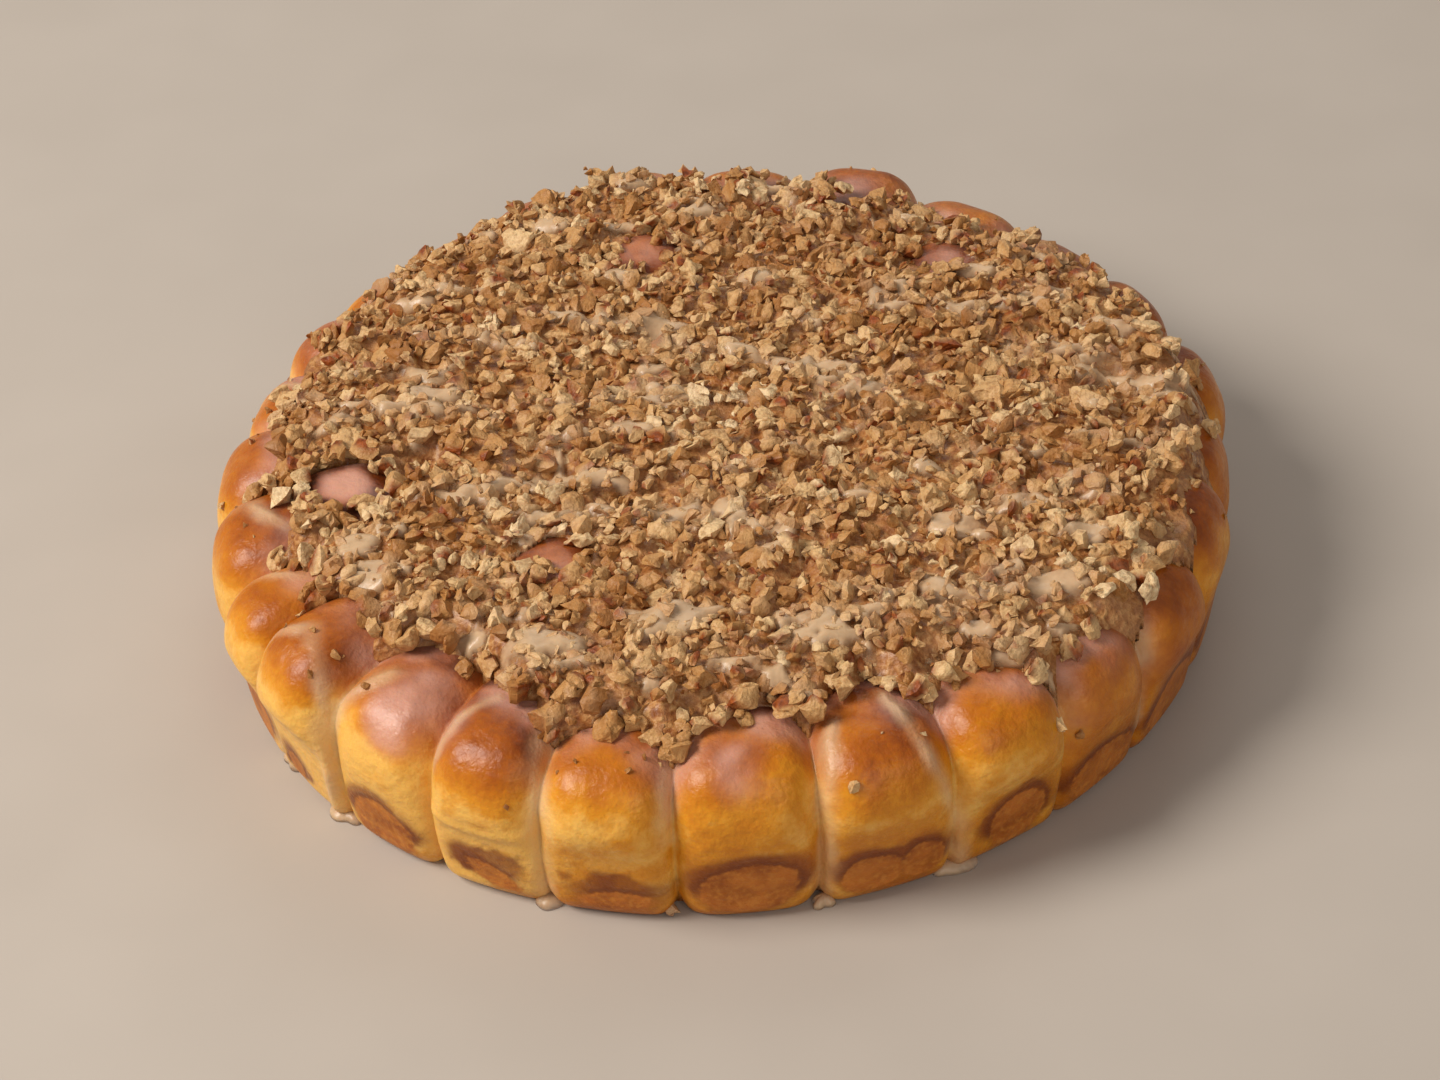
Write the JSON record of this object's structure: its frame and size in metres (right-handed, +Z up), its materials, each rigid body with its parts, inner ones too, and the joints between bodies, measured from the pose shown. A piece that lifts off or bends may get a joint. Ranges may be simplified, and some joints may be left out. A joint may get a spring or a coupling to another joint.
{
  "type": "pecan honeycomb bread",
  "caption": "Round pull-apart loaf of small buns baked together, with chopped pecans and milky glaze over its top.",
  "frame": {"origin": "centre of the flat base on which the loaf rests", "axes": "+Z up out of the top; -Y is the side that faces the camera in the picture, +X is to the right there"},
  "size_m": [0.2704, 0.2796, 0.0588],
  "materials": {
    "crust": null,
    "pecans": null
  },
  "bodies": {
    "root": {"bread": "crust", "pecan_topping": "pecans"}
  },
  "joints": []
}
